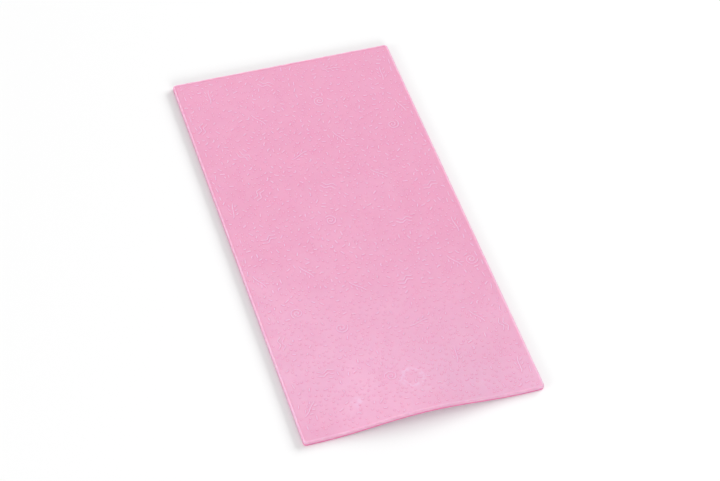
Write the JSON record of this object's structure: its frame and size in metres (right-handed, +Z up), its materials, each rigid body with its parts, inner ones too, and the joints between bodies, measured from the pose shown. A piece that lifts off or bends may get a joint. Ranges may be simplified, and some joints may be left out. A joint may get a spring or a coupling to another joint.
{
  "type": "silicone impression mat",
  "caption": "Thin soft rectangular silicone mat with an all-over raised texture inside a low rim, for pressing a pattern into loaf soap.",
  "frame": {"origin": "under the middle of the mat, on the surface that it lies on", "axes": "+Y along the mat's length, away from the short edge that has stayed lifted; +X across it; +Z up through the textured face"},
  "size_m": [0.1, 0.2, 0.0057],
  "materials": {
    "silicone": "satin"
  },
  "bodies": {
    "root": {"impression_mat": "silicone"}
  },
  "joints": []
}
